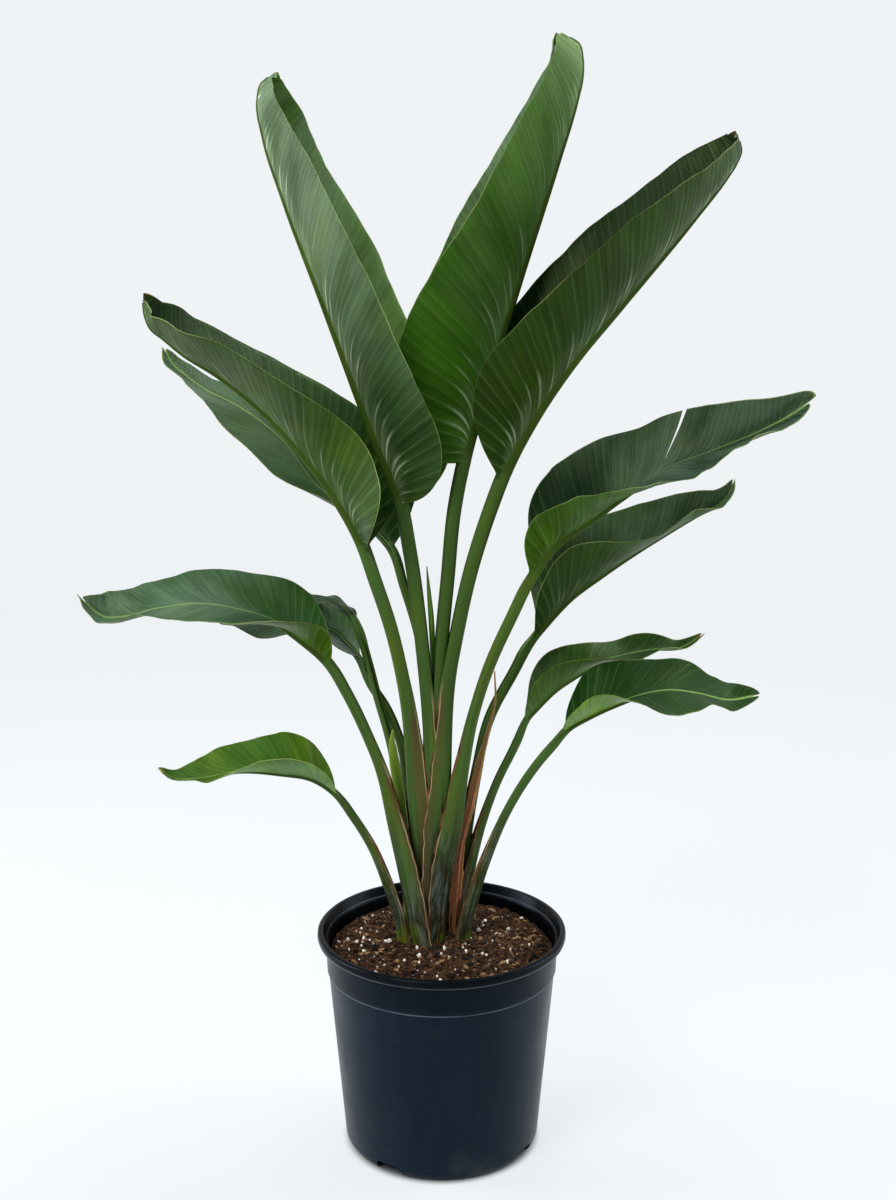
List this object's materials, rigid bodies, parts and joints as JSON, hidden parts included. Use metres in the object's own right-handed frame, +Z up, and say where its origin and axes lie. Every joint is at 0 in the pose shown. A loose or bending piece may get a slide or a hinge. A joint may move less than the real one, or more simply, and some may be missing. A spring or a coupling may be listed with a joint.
{
  "type": "potted bird of paradise",
  "caption": "Bird of paradise house plant: long stalked paddle leaves in a fan, standing in bark soil in a round black nursery pot with a rolled rim and drain notches.",
  "frame": {"origin": "centre of the pot's flat base, where it stands on the floor", "axes": "+Z up; the fan of leaves spreads along X, and -Y is the side that the picture shows"},
  "size_m": [0.746, 0.336, 1.1729],
  "materials": {
    "pot": "satin",
    "soil": "matte",
    "leaf": "satin",
    "young_leaf": "satin",
    "dry_sheath": "matte"
  },
  "bodies": {
    "root": {"pot": "pot", "soil": "soil", "leaf_low_left": "leaf", "leaf_low_right": "leaf", "leaf_long_left": "leaf", "leaf_torn_right": "leaf", "leaf_upper_left_front": "leaf", "leaf_upright_right": "leaf", "leaf_upright_left": "leaf", "leaf_upright_centre": "leaf", "leaf_small_right": "leaf", "leaf_second_right": "leaf", "leaf_middle_left_back": "leaf", "leaf_upper_left_back": "leaf", "leaf_hidden_left": "leaf", "rolled_leaf": "young_leaf", "dry_sheath": "dry_sheath", "green_sheath": "young_leaf"}
  },
  "joints": []
}
